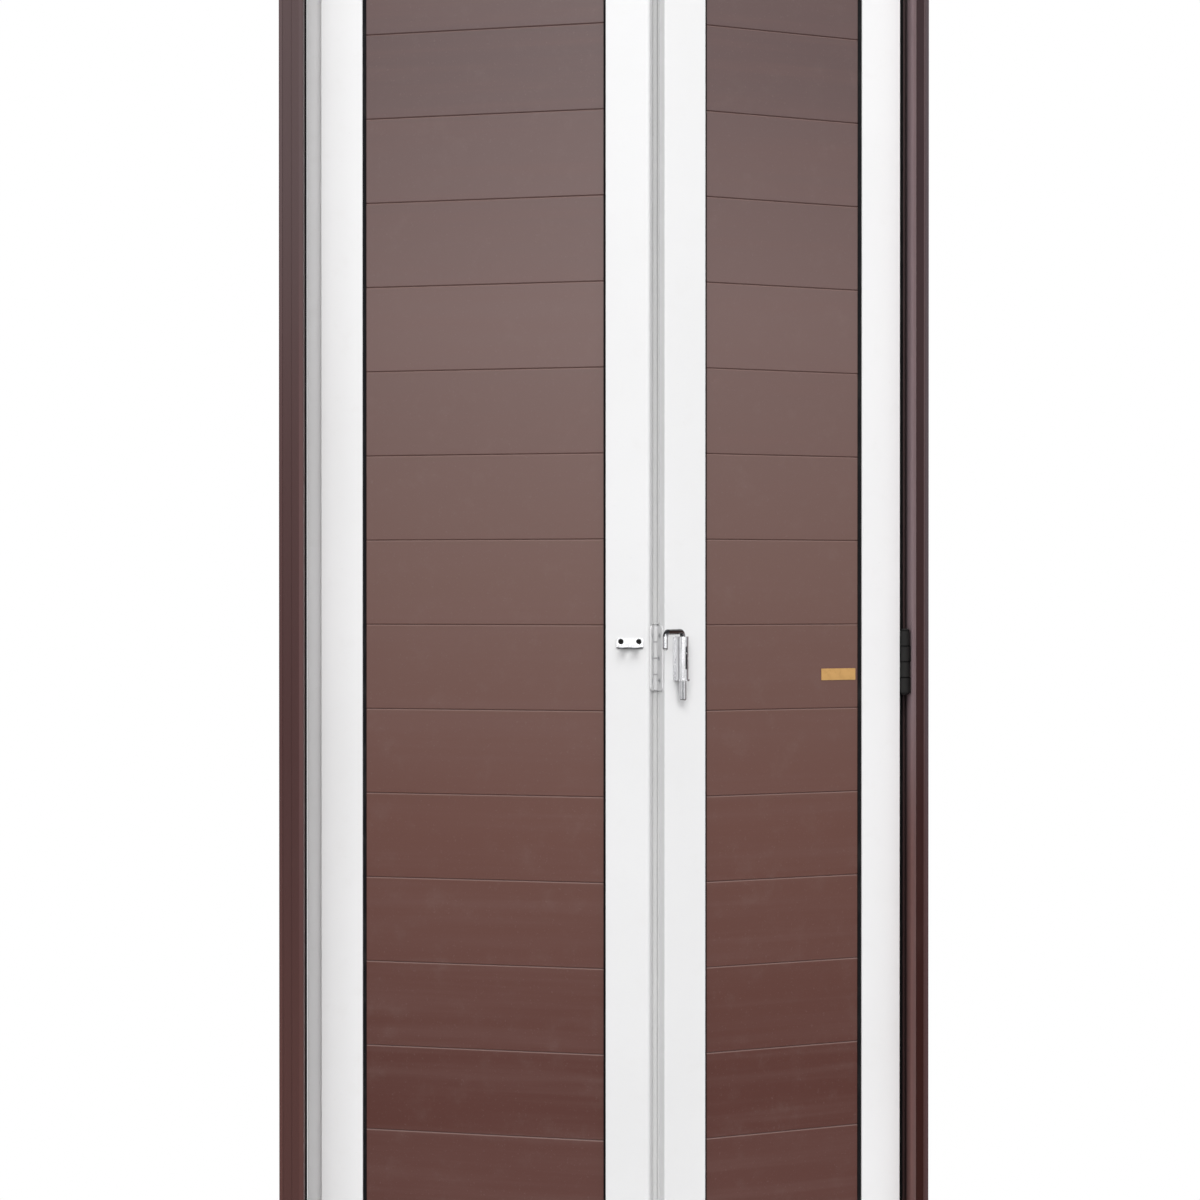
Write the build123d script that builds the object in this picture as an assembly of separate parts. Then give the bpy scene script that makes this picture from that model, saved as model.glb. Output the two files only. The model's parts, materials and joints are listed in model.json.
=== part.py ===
# Two-leaf bifold door in its frame, all lengths in millimetres.
# The origin is on the floor, midway between the jambs, in the plane of the jamb hinge axis
# and of the track's centre line. X runs along the wall, Y into the room behind, Z up.
# Every piece is laid out with the door shut and then turned to the half-open rest position.

import math
import os

from build123d import *

# Frame
frame_width = 762.0
frame_height = 2134.0
frame_front = 30.0
frame_back = 50.0
frame_wall = 1.8
hinge_jamb_face = 15.0
strike_lip_width = 28.0
strike_lip_back = 7.0
strike_web = 8.0
hinge_stop_width = 23.0
hinge_stop_depth = 18.0
head_height = 49.0
cap_thickness = 1.5
bead_width = 4.0
bead_groove = 2.0
strike_band = 10.5
band_depth = 0.8

# Leaves
floor_gap = 12.0
head_gap = 7.0
leaf_thickness = 24.0
stile_face = 51.0
leaf_wall = 1.8
groove_depth = 15.0
flange = 2.0
edge_radius = 0.8
fold_edge_radius = 4.5
strike_clearance = 2.4
tongue_width = 21.0
tongue_setback = 11.0
fold_gap = 4.0
hinge_side_gap = 13.6
guide_inset = 82.2
rest_angle = 16.5

# Planks
plank_cover = 99.0
plank_thickness = 14.0
plank_front = 5.0
plank_chamfer = 1.1
plank_seam = 0.2
plank_wall = 1.5
plank_side_engagement = 10.0
plank_end_engagement = 8.0
tongue_rib = 4.0
tongue_rib_height = 6.0
tongue_slot = 4.6
tongue_slot_depth = 6.5

# Panel gaskets
gasket_base = 6.0
gasket_nose = 3.5
gasket_lip = 0.8
gasket_shoulder = 0.5

# Jamb gaskets
seal_gap = 0.3
seal_width = 7.0
seal_inset = 4.0
seal_radius = 1.4

# Butt hinges
hinge_height = 75.0
jamb_hinge_middle = 1000.0
fold_hinge_middle = 1007.0
hinge_end_distance = 190.0
barrel_radius = 5.8
barrel_clearance = 0.5
knuckle_gap = 0.4
knuckle_count = 4
plate_width = 20.0
plate_thickness = 1.8
fold_plate_thickness = 1.7
plate_root = 1.0
plate_corner = 5.0
hinge_pin_radius = 2.6
pin_clearance = 0.06
pin_head_radius = 4.6
pin_head_height = 2.0
dome_share = 0.8
fin_reach = 3.0
hinge_screw_inset = 7.0
hinge_screw_step = 26.0
hinge_screw_stagger = 2.5

# Countersunk screws
screw_radius = 1.7
screw_head_radius = 3.0
screw_head_height = 1.5
screw_length = 9.0
screw_clearance = 0.1

# Corner cleats of the leaves
cleat_length = 42.0
cleat_clearance = 0.3
cleat_corner = 2.0
corner_screw_spacing = 16.0
corner_screw_length = 46.0
corner_screw_front = 7.8

# Frame corners
frame_cleat_arm = 40.0
frame_cleat_depth = 9.0
frame_cleat_width = 10.0
frame_cleat_clearance = 0.4
frame_screw_offset = 20.0
frame_screw_length = 12.0
strike_screw_length = 24.0
fixing_hole_radius = 3.0
fixing_end_distance = 200.0
fixing_depth = 20.0
strike_fixing_depth = 30.0
head_fixing_spacing = 480.0

# Guide track, guide bracket and guide roller
track_width = 28.0
track_height = 25.0
track_wall = 2.0
track_flange = 6.0
track_clearance = 0.3
track_end_gap = 1.0
track_screw_count = 4
track_end_distance = 60.0
open_angle = 78.0
roller_radius = 11.0
roller_height = 12.5
roller_crown = 1.2
roller_clearance = 0.06
roller_end_play = 0.4
guide_pin_radius = 4.0
guide_pin_head = 6.0
guide_pin_head_height = 2.0
guide_collar_height = 5.0
bracket_length = 56.0
bracket_thickness = 3.0
bracket_nose_radius = 9.0
bracket_depth = 20.0
bracket_corner = 4.0
bracket_screw_spacing = 36.0
bracket_screw_back = 12.0
stop_length = 20.0
stop_height = 17.0
stop_gap = 6.0
stop_screw_length = 24.0
stop_side_gap = 0.3
stop_chamfer = 1.5

# Latch on the hinge leaf
latch_inset = 19.0
latch_stand_off = 8.5
latch_plate_width = 17.4
latch_plate_thickness = 2.0
latch_plate_corner = 2.5
latch_bottom = 981.5
latch_height = 50.8
latch_tube_radius = 6.7
latch_bore_radius = 4.7
latch_slot_width = 2.8
latch_slot_rise = 13.5
latch_slot_height = 26.0
latch_slot_angle = 18.0
latch_flange_radius = 8.0
latch_flange_height = 2.0
latch_peg_inset = 9.0
latch_peg_radius = 1.7
latch_peg_length = 6.0
peg_clearance = 0.1
sleeve_clearance = 0.08
sleeve_rise = 8.5
sleeve_height = 22.0
sleeve_key_radius = 1.1
rod_radius = 3.1
rod_clearance = 0.06
rod_bend_radius = 7.0
rod_collar_height = 2.0
sleeve_end_gap = 0.1
arm_rise = 5.7
finger_length = 21.0
foot_drop = 23.0
knob_radius = 4.3
knob_end_radius = 2.4
latch_turn = 41.0

# Keeper on the lead leaf
keeper_inset = 22.5
keeper_width = 32.0
keeper_rise = 1.4
keeper_height = 11.6
keeper_thickness = 1.6
keeper_corner = 2.0
keeper_lip = 16.0
keeper_lip_width = 22.0
keeper_notch_radius = 4.3
keeper_screw_spacing = 21.0
keeper_screw_drop = 3.6

# Blank gold plate on the panel of the hinge leaf
badge_width = 45.0
badge_height = 13.8
badge_thickness = 0.8
badge_gap = 3.0
badge_centre_height = 986.0
badge_corner = 0.6

overrun = 1.0

# Places that follow from the sizes above, door shut
strike_side = -frame_width / 2
hinge_side = frame_width / 2
reveal = hinge_side - hinge_jamb_face
lip_edge = strike_side + strike_lip_width
web_edge = strike_side + strike_web
stop_edge = reveal - hinge_stop_width
head_bottom = frame_height - head_height
hinge_axis = reveal - hinge_side_gap / 2
hinge_leaf_edge = reveal - hinge_side_gap
lead_leaf_edge = lip_edge + strike_clearance
guide_axis = lead_leaf_edge + guide_inset
fold_axis = (hinge_axis + guide_axis) / 2
hinge_leaf_fold_edge = fold_axis + fold_gap / 2
lead_leaf_fold_edge = fold_axis - fold_gap / 2
leaf_bottom = floor_gap
leaf_top = head_bottom - head_gap
groove_bottom = leaf_bottom + stile_face - groove_depth
panel_bottom = leaf_bottom + stile_face - plank_end_engagement
panel_top = leaf_top - stile_face + plank_end_engagement
plank_count = max(1, round((panel_top - panel_bottom) / plank_cover))
plank_pitch = (panel_top - panel_bottom) / plank_count
barrel_space = barrel_radius + barrel_clearance

# The fold axis lies midway between the jamb hinge and the guide pin, which share one line,
# so the pin keeps to the track while the fold turns back twice as far as the jamb hinge.
link_reach = hinge_axis - fold_axis
link_length = math.hypot(link_reach, leaf_thickness)
dead_centre_angle = math.degrees(math.atan2(leaf_thickness, link_reach))


def rect(x0, x1, y0, y1):
    """Flat rectangle between two corners, given in any order."""
    return Pos((x0 + x1) / 2, (y0 + y1) / 2) * Rectangle(abs(x1 - x0), abs(y1 - y0))


def upright(face, z0, z1):
    """Stands a plan section up between two heights."""
    return Pos(0, 0, z0) * extrude(face, amount=z1 - z0)


def along_x(face, x0, x1):
    """Runs a section drawn in Y and Z along the wall."""
    start = min(x0, x1)
    plane = Plane(origin=(start, 0, 0), x_dir=(0, 1, 0), z_dir=(1, 0, 0))
    return extrude(plane * face, amount=abs(x1 - x0))


def block(x0, x1, y0, y1, z0, z1):
    """Straight block between two corners."""
    return upright(rect(x0, x1, y0, y1), min(z0, z1), max(z0, z1))


def rounded(face, points, radius):
    """Rounds the corners of a flat section that lie nearest to the given points."""
    for x, y in points:
        corner = face.vertices().sort_by_distance(Vector(x, y, 0))[0]
        face = fillet(corner, radius)
    return face


def rod(x, y, z0, z1, radius):
    """Round upright bar."""
    return Pos(x, y, z0) * extrude(Circle(radius), amount=z1 - z0)


def cross_rod(x0, x1, y, z, radius):
    """Round bar that runs along the wall."""
    return along_x(Pos(y, z) * Circle(radius), x0, x1)


def screw(length):
    """Countersunk screw with its head in the plane Z = 0 and its shank downwards."""
    head = Solid.make_cone(screw_radius, screw_head_radius, screw_head_height)
    shank = extrude(Circle(screw_radius), amount=length - screw_head_height)
    return Pos(0, 0, -screw_head_height) * head + Pos(0, 0, -length) * shank


def screw_space(length):
    """Hole that clears a countersunk screw."""
    radius = screw_radius + screw_clearance
    head = Solid.make_cone(radius, screw_head_radius + screw_clearance, screw_head_height)
    shank = extrude(Circle(radius), amount=length + screw_clearance)
    return Pos(0, 0, -screw_head_height) * head + Pos(0, 0, -length - screw_clearance) * shank


def facing(x, y, z, direction):
    """Place of a screw whose head faces the given way."""
    turns = {
        "+x": (0, 90, 0), "-x": (0, -90, 0), "-y": (90, 0, 0), "+z": (0, 0, 0), "-z": (180, 0, 0),
    }
    return Pos(x, y, z) * Rot(*turns[direction])


def hinge_leaf_at_rest(piece):
    """Turns a piece of the hinge leaf from shut to the rest position."""
    return Pos(hinge_axis, 0, 0) * Rot(0, 0, rest_angle) * Pos(-hinge_axis, 0, 0) * piece


def lead_leaf_at_rest(piece):
    """Turns a piece of the lead leaf back in the fold, then with the hinge leaf."""
    folded = Pos(fold_axis, leaf_thickness, 0) * Rot(0, 0, -2 * rest_angle)
    return hinge_leaf_at_rest(folded * Pos(-fold_axis, -leaf_thickness, 0) * piece)


def save(name, pieces, place=None):
    """Writes one node, its pieces moved to where they rest."""
    pieces = pieces if isinstance(pieces, list) else [pieces]
    solids = []
    for piece in pieces:
        placed = place(piece) if place else piece
        solids.extend(placed.solids())
    shape = solids[0] if len(solids) == 1 else Compound(children=solids)
    export_step(shape, os.path.join("parts", name + ".step"))


# Leaf frames

def stile_section(edge, inward, knuckle=False, radius=edge_radius):
    """Hollow stile with the panel groove on its inner side; inward is 1 or -1 along X."""
    inner = edge + inward * stile_face
    groove = edge + inward * (stile_face - groove_depth)
    outline = rect(edge, inner, 0, leaf_thickness)
    outline = rounded(outline, [(edge, 0)], radius)
    chamber = rect(edge + inward * leaf_wall, groove - inward * leaf_wall,
                   leaf_wall, leaf_thickness - leaf_wall)
    channel = rect(groove, inner + inward * overrun, flange, leaf_thickness - flange)
    if knuckle:
        axis = Pos(fold_axis, leaf_thickness)
        outline -= axis * Circle(barrel_space)
        chamber -= axis * Circle(barrel_space + leaf_wall)
    section = outline - chamber - channel
    return section


def tongue_profile():
    """Hollow profile on the lead leaf's edge that closes behind the lip of the strike jamb."""
    tip = lead_leaf_edge - tongue_width
    section = rect(tip, lead_leaf_edge, tongue_setback, leaf_thickness)
    section = rounded(section, [(tip, tongue_setback), (tip, leaf_thickness)], edge_radius)
    section -= rect(tip + leaf_wall, lead_leaf_edge - leaf_wall,
                    tongue_setback + leaf_wall, leaf_thickness - leaf_wall)
    return upright(section, leaf_bottom, leaf_top)


def rail(x0, x1, outer, upward):
    """Hollow rail between the stiles, with the panel groove on its inner side."""
    inner = outer + upward * stile_face
    groove = outer + upward * (stile_face - groove_depth)
    section = rect(0, leaf_thickness, outer, inner)
    section = rounded(section, [(0, outer), (leaf_thickness, outer)], edge_radius)
    section -= rect(leaf_wall, leaf_thickness - leaf_wall,
                    outer + upward * leaf_wall, groove - upward * leaf_wall)
    section -= rect(flange, leaf_thickness - flange, groove, inner + upward * overrun)
    return along_x(section, x0, x1)


def cleat_heights():
    """Lower and upper height of the corner cleat in the bottom and in the top rail."""
    low = leaf_bottom + leaf_wall + cleat_clearance
    high = groove_bottom - leaf_wall - cleat_clearance
    return [(low, high), (leaf_top - (high - leaf_bottom), leaf_top - (low - leaf_bottom))]


def corner_cleats(x0, x1):
    """Cast cleats that reach from the stile grooves into the ends of both rails."""
    cleats = []
    gap = leaf_wall + cleat_clearance
    for z0, z1 in cleat_heights():
        outer = rect(gap, leaf_thickness - gap, z0, z1)
        outer = fillet(outer.vertices(), cleat_corner)
        start = x0 - groove_depth
        end = x1 + groove_depth
        cleats.append(along_x(outer, start, start + cleat_length))
        cleats.append(along_x(outer, end - cleat_length, end))
    return cleats


def corner_screw_places(edge, direction):
    """Two screws at each end of a stile, driven from its outer edge."""
    places = []
    for z0, z1 in cleat_heights():
        for step in (-1, 1):
            z = (z0 + z1) / 2 + step * corner_screw_spacing / 2
            places.append(facing(edge, corner_screw_front, z, direction))
    return places


def plank_section():
    """Hollow plank with a rib on top, a slot below and chamfered meeting edges."""
    depth, height, cut = plank_thickness, plank_pitch - plank_seam, plank_chamfer
    rib0, rib1 = (depth - tongue_rib) / 2, (depth + tongue_rib) / 2
    slot0, slot1 = (depth - tongue_slot) / 2, (depth + tongue_slot) / 2
    outline = [
        (0, cut), (0, height - cut), (cut, height), (rib0, height),
        (rib0, height + tongue_rib_height), (rib1, height + tongue_rib_height), (rib1, height),
        (depth - cut, height), (depth, height - cut), (depth, cut), (depth - cut, 0),
        (slot1, 0), (slot1, tongue_slot_depth), (slot0, tongue_slot_depth), (slot0, 0), (cut, 0),
    ]
    face = make_face(Polyline(*outline, close=True))
    return face - rect(plank_wall, depth - plank_wall,
                       tongue_slot_depth + plank_wall, height - plank_wall)


def planks(x0, x1):
    """Stack of planks that fills a leaf, each reaching into the grooves of both stiles."""
    section = Pos(plank_front, 0) * plank_section()
    plank = along_x(section, x0 - plank_side_engagement, x1 + plank_side_engagement)
    return [Pos(0, 0, panel_bottom + row * plank_pitch) * plank for row in range(plank_count)]


def gasket_points(edge, inward, side):
    """Wedge gasket across a groove's lip: side is 1 in front of the planks and -1 behind."""
    surface = plank_front if side == 1 else plank_front + plank_thickness
    lip = flange if side == 1 else leaf_thickness - flange
    base = edge - inward * gasket_base
    nose = edge + inward * gasket_nose
    return [
        (base, lip), (edge, lip), (edge + inward * gasket_shoulder, lip - side * gasket_lip),
        (nose, surface - side * gasket_lip), (nose, surface), (base, surface),
    ]


def panel_gaskets(x0, x1):
    """Gasket strips round both faces of the panel, the lying ones between the upright ones."""
    z0, z1 = leaf_bottom + stile_face, leaf_top - stile_face
    strips = []
    for side in (1, -1):
        for edge, inward in ((x0, 1), (x1, -1)):
            points = gasket_points(edge, inward, side)
            strips.append(upright(make_face(Polyline(*points, close=True)), z0, z1))
        for edge, inward in ((z0, 1), (z1, -1)):
            points = [(depth, height) for height, depth in gasket_points(edge, inward, side)]
            section = make_face(Polyline(*points, close=True))
            strips.append(along_x(section, x0 + gasket_nose, x1 - gasket_nose))
    return strips


# Butt hinges

def hinge_bottoms(middle):
    """Lower ends of the lower, middle and upper hinge of one hinge line."""
    centres = [leaf_bottom + hinge_end_distance, middle, leaf_top - hinge_end_distance]
    return dict(zip(("lower", "middle", "upper"), [z - hinge_height / 2 for z in centres]))


def knuckle_spans(bottom, first):
    """Heights of every second knuckle, starting with the first or the second."""
    pitch = hinge_height / knuckle_count
    ends = [(bottom + i * pitch, bottom + (i + 1) * pitch) for i in range(first, knuckle_count, 2)]
    return [(z0 + knuckle_gap / 2, z1 - knuckle_gap / 2) for z0, z1 in ends]


def hinge_screw_places(bottom, x, axis_y, along, direction):
    """Three screws of a hinge plate, the middle one nearer to the barrel."""
    places = []
    for step in (-1, 0, 1):
        inset = hinge_screw_inset + (hinge_screw_stagger if step == 0 else 0)
        y = axis_y + along * (plate_width - inset)
        places.append(facing(x, y, bottom + hinge_height / 2 + step * hinge_screw_step, direction))
    return places


def hinge_plate(bottom, axis, side, along, first, seat, thickness, root):
    """Plate with its knuckles: side is the plate's side of the axis along X, along its run in Y.

    The plate lies at the distance seat from the axis; root widens it where it meets a knuckle.
    """
    x, y = axis
    outer = x + side * seat
    inner = outer - side * thickness
    near, far = y + along * barrel_space, y + along * plate_width
    top = bottom + hinge_height
    sheet = rounded(rect(near, far, bottom, top), [(far, bottom), (far, top)], plate_corner)
    plate = along_x(sheet, inner, outer)
    for z0, z1 in knuckle_spans(bottom, first):
        plate += block(inner - side * root, outer, y - along * root, near + along * root, z0, z1)
        plate += rod(x, y, z0, z1, barrel_radius)
    plate -= rod(x, y, bottom - overrun, top + overrun, hinge_pin_radius + pin_clearance)
    direction = "-x" if side == 1 else "+x"
    holes = [place * screw_space(screw_length)
             for place in hinge_screw_places(bottom, inner, y, along, direction)]
    return plate - holes


def hinge_pin(bottom, axis):
    """Pin with a domed head at both ends of the barrel."""
    x, y = axis
    shaft = rod(x, y, bottom, bottom + hinge_height, hinge_pin_radius)
    head = rod(0, 0, 0, pin_head_height, pin_head_radius)
    head = fillet(head.edges().sort_by(Axis.Z)[-1], pin_head_height * dome_share)
    upper = Pos(x, y, bottom + hinge_height) * head
    lower = Pos(x, y, bottom) * Rot(180, 0, 0) * head
    return shaft + upper + lower


def jamb_hinge_screws(on_jamb):
    """Screw places of the jamb hinges, on the jamb or on the leaf."""
    seat = hinge_side_gap / 2 - plate_thickness
    x, direction = (hinge_axis + seat, "-x") if on_jamb else (hinge_axis - seat, "+x")
    bottoms = hinge_bottoms(jamb_hinge_middle).values()
    return [place for z in bottoms for place in hinge_screw_places(z, x, 0, 1, direction)]


def fold_hinge_screws(on_lead_leaf):
    """Screw places of the fold hinges, on the lead leaf or on the hinge leaf."""
    seat = fold_gap / 2 - fold_plate_thickness
    x, direction = (fold_axis - seat, "+x") if on_lead_leaf else (fold_axis + seat, "-x")
    bottoms = hinge_bottoms(fold_hinge_middle).values()
    return [place for z in bottoms
            for place in hinge_screw_places(z, x, leaf_thickness, -1, direction)]


def fold_seal():
    """Seal rods that close the fold between its hinges, with a fin on the hinge leaf's edge."""
    ends = [leaf_bottom]
    for bottom in hinge_bottoms(fold_hinge_middle).values():
        ends += [bottom - pin_head_height - knuckle_gap,
                 bottom + hinge_height + pin_head_height + knuckle_gap]
    ends.append(leaf_top)
    rods = []
    for z0, z1 in zip(ends[::2], ends[1::2]):
        fin_back = leaf_thickness - barrel_radius / 2
        fin_front = leaf_thickness - barrel_space - fin_reach
        fin = block(fold_axis, hinge_leaf_fold_edge, fin_front, fin_back, z0, z1)
        rods.append(rod(fold_axis, leaf_thickness, z0, z1, barrel_radius) + fin)
    return rods


# Frame

def frame_cleat_places():
    """Corners of the cleat's two arms on the hinge side: the jamb's arm, then the head's."""
    gap = frame_wall + frame_cleat_clearance
    x1 = hinge_side - gap
    x0 = reveal + gap
    y0 = -frame_front + gap
    z0 = head_bottom + gap
    return (x0, x1, y0, y0 + frame_cleat_width, z0, z0 + frame_cleat_depth)


def frame_cleat():
    """Angle cleat that joins the hinge jamb to the head, inside their front chambers."""
    x0, x1, y0, y1, z0, z1 = frame_cleat_places()
    arm = block(x0, x1, y0, y1, head_bottom - frame_cleat_arm, z1)
    return arm + block(x1 - frame_cleat_arm, x1, y0, y1, z0, z1)


def frame_screw_places(strike=False):
    """One screw into each arm of a frame cleat: its place and its length."""
    x0, x1, y0, y1, z0, z1 = frame_cleat_places()
    y = (y0 + y1) / 2
    level = head_bottom - frame_screw_offset
    run = x1 - frame_cleat_arm + frame_cleat_depth / 2
    if strike:
        side = (facing(lip_edge, y, level, "+x"), strike_screw_length)
        return [side, (facing(-run, y, head_bottom, "-z"), frame_screw_length)]
    side = (facing(reveal, y, level, "-x"), frame_screw_length)
    return [side, (facing(run, y, head_bottom, "-z"), frame_screw_length)]


def fixing_heights():
    """Heights of the wall fixings of a jamb."""
    return [fixing_end_distance, frame_height - fixing_end_distance]


def hinge_jamb():
    """Hollow jamb that carries the hinges, a groove beside the bead on its outer edge."""
    section = rect(reveal, hinge_side, -frame_front, frame_back)
    section = rounded(section, [(reveal, -frame_front), (hinge_side, -frame_front)], edge_radius)
    section -= rect(reveal + frame_wall, hinge_side - frame_wall,
                    -frame_front + frame_wall, frame_back - frame_wall)
    bead = hinge_side - bead_width
    section -= rect(bead - bead_groove, bead, -frame_front, -frame_front + band_depth)
    jamb = upright(section, 0, head_bottom)
    holes = [place * screw_space(screw_length) for place in jamb_hinge_screws(True)]
    place, length = frame_screw_places()[0]
    holes.append(place * screw_space(length))
    holes += [cross_rod(reveal - overrun, hinge_side + overrun, fixing_depth, z,
                        fixing_hole_radius) for z in fixing_heights()]
    return jamb - holes


def hinge_jamb_stop():
    """Hollow stop on the hinge jamb, behind the shut leaf."""
    front = frame_back - hinge_stop_depth
    section = rect(stop_edge, reveal, front, frame_back)
    section = rounded(section, [(stop_edge, front), (stop_edge, frame_back)], edge_radius)
    section -= rect(stop_edge + frame_wall, reveal - frame_wall,
                    front + frame_wall, frame_back - frame_wall)
    return upright(section, 0, head_bottom)


def strike_jamb():
    """Hollow jamb with a wide front lip over the leaf's tongue, a sunk band beside its bead."""
    section = rect(strike_side, lip_edge, -frame_front, strike_lip_back)
    section = rounded(section, [(strike_side, -frame_front), (lip_edge, -frame_front)], edge_radius)
    section -= rect(strike_side + frame_wall, lip_edge - frame_wall,
                    -frame_front + frame_wall, strike_lip_back - frame_wall)
    bead = strike_side + bead_width
    section -= rect(bead, bead + strike_band, -frame_front, -frame_front + band_depth)
    place, length = frame_screw_places(strike=True)[0]
    return upright(section, 0, head_bottom) - place * screw_space(length)


def strike_jamb_web():
    """Hollow wall profile behind the lip of the strike jamb."""
    section = rect(strike_side, web_edge, strike_lip_back, frame_back)
    section = rounded(section, [(web_edge, frame_back)], edge_radius)
    section -= rect(strike_side + frame_wall, web_edge - frame_wall,
                    strike_lip_back + frame_wall, frame_back - frame_wall)
    holes = [cross_rod(strike_side - overrun, web_edge + overrun, strike_fixing_depth, z,
                       fixing_hole_radius) for z in fixing_heights()]
    return upright(section, 0, head_bottom) - holes


def jamb_seal(x0, x1, base, free):
    """Seal strip with a rounded free side."""
    strip = rect(x0, x1, base, free)
    strip = rounded(strip, [(x0, free), (x1, free)], seal_radius)
    return upright(strip, 0, head_bottom)


def frame_head():
    """Hollow head over both jambs, with a groove for the guide track."""
    half = track_width / 2 + track_clearance
    low, high = head_bottom, frame_height
    roof = low + track_height + track_clearance
    section = rect(-frame_front, frame_back, low, high)
    section = rounded(section, [(-frame_front, low), (-frame_front, high)], edge_radius)
    section -= rect(-half, half, low - overrun, roof)
    floor, ceiling = low + frame_wall, high - frame_wall
    section -= rect(-frame_front + frame_wall, -half - frame_wall, floor, ceiling)
    section -= rect(half + frame_wall, frame_back - frame_wall, floor, ceiling)
    section -= rect(-half, half, roof + frame_wall, ceiling)
    head = along_x(section, strike_side + cap_thickness, hinge_side - cap_thickness)
    x0, x1, y0, y1, z0, z1 = frame_cleat_places()
    gap = frame_cleat_clearance
    notch = block(x0 - gap, x1 + gap, y0 - gap, y1 + gap, low - overrun, low + frame_wall + overrun)
    holes = [notch, mirror(notch, about=Plane.YZ)]
    holes += [frame_screw_places(strike)[1][0] * screw_space(frame_screw_length)
              for strike in (False, True)]
    holes += [place * screw_space(length) for place, length in track_screw_places()]
    holes += [rod(step * head_fixing_spacing / 2, fixing_depth + track_width / 2, low - overrun,
                  high + overrun, fixing_hole_radius) for step in (-1, 1)]
    return head - holes


def head_end_caps():
    """Flat caps on both ends of the head."""
    section = rect(-frame_front, frame_back, head_bottom, frame_height)
    section = rounded(section, [(-frame_front, head_bottom), (-frame_front, frame_height)],
                      edge_radius)
    return [along_x(section, strike_side, strike_side + cap_thickness),
            along_x(section, hinge_side - cap_thickness, hinge_side)]


# Guide track and guide roller

def guide_stop_start():
    """Side of the track stop that the guide roller reaches when the door is folded."""
    reach = 2 * link_length * math.cos(math.radians(open_angle - dead_centre_angle))
    return hinge_axis - reach + roller_radius + stop_gap


def track_screw_places():
    """Screws that hold the track and its stop up in the head: place and length."""
    roof = head_bottom + track_height - track_wall
    x0, x1 = lip_edge + track_end_distance, reveal - track_end_distance
    places = []
    for i in range(track_screw_count):
        x = x0 + (x1 - x0) * i / (track_screw_count - 1)
        places.append((facing(x, 0, roof, "-z"), screw_length))
    x = guide_stop_start() + stop_length / 2
    places.append((facing(x, 0, roof - stop_height, "-z"), stop_screw_length))
    return places


def guide_track():
    """Inverted channel in the head, with a flange under each side."""
    half = track_width / 2
    low, high = head_bottom, head_bottom + track_height
    section = rect(-half, half, low - track_wall, high)
    section += rect(-half - track_flange, half + track_flange, low - track_wall, low)
    section -= rect(-half + track_wall, half - track_wall, low - track_wall - overrun,
                    high - track_wall)
    track = along_x(section, lip_edge + track_end_gap, reveal - track_end_gap)
    return track - [place * screw_space(length) for place, length in track_screw_places()]


def track_stop():
    """Nylon block in the track that ends the guide roller's run."""
    half = track_width / 2 - track_wall - stop_side_gap
    roof = head_bottom + track_height - track_wall
    start = guide_stop_start()
    body = block(start, start + stop_length, -half, half, roof - stop_height, roof)
    body = chamfer(body.edges().filter_by(Axis.Z), stop_chamfer)
    place, length = track_screw_places()[-1]
    return body - place * screw_space(length)


def guide_bracket_screws():
    """Two screws of the guide bracket, into the top rail of the lead leaf."""
    level = leaf_top + bracket_thickness
    return [facing(guide_axis + step * bracket_screw_spacing / 2, bracket_screw_back, level, "+z")
            for step in (-1, 1)]


def guide_bracket():
    """Plate on the top rail, with a nose that carries the pin in the plane of the leaf's face."""
    half = bracket_length / 2
    outline = rect(guide_axis - half, guide_axis + half, bracket_corner / 2, bracket_depth)
    outline = fillet(outline.vertices(), bracket_corner)
    outline += rect(guide_axis - bracket_nose_radius, guide_axis + bracket_nose_radius,
                    0, bracket_screw_back)
    outline += Pos(guide_axis, 0) * Circle(bracket_nose_radius)
    outline -= Pos(guide_axis, 0) * Circle(guide_pin_radius + pin_clearance)
    plate = upright(outline, leaf_top, leaf_top + bracket_thickness)
    return plate - [place * screw_space(screw_length) for place in guide_bracket_screws()]


def guide_levels():
    """Lower and upper end of the guide roller."""
    low = leaf_top + bracket_thickness + guide_collar_height + roller_end_play
    return low, low + roller_height


def guide_pin():
    """Pin with a collar on the bracket and a head over the roller."""
    low, high = guide_levels()
    foot = leaf_top + bracket_thickness
    top = high + roller_end_play
    pin = rod(guide_axis, 0, leaf_top, top, guide_pin_radius)
    pin += rod(guide_axis, 0, foot, foot + guide_collar_height, guide_pin_head)
    head = rod(guide_axis, 0, top, top + guide_pin_head_height, guide_pin_head)
    return pin + chamfer(head.edges().sort_by(Axis.Z)[-1], guide_pin_head_height / 2)


def guide_roller():
    """Nylon roller with rounded rims, free on its pin."""
    low, high = guide_levels()
    roller = rod(guide_axis, 0, low, high, roller_radius)
    roller = fillet(roller.edges().filter_by(GeomType.CIRCLE), roller_crown)
    return roller - rod(guide_axis, 0, low - overrun, high + overrun,
                        guide_pin_radius + roller_clearance)


# Latch and keeper

latch_x = hinge_leaf_fold_edge + latch_inset
latch_y = -latch_stand_off
keeper_x = lead_leaf_fold_edge - keeper_inset
latch_slot_bottom = latch_bottom + latch_slot_rise
sleeve_bottom = latch_bottom + sleeve_rise
rod_bottom = latch_bottom - foot_drop
arm_height = latch_bottom + latch_height + arm_rise
finger_bottom = arm_height - finger_length
keeper_bottom = finger_bottom + keeper_rise


def on_front(face, surface, depth):
    """Extrudes a shape drawn in X and Z from a front surface towards the viewer."""
    plane = Plane(origin=(0, surface, 0), x_dir=(1, 0, 0), z_dir=(0, -1, 0))
    return extrude(plane * face, amount=depth)


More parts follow.
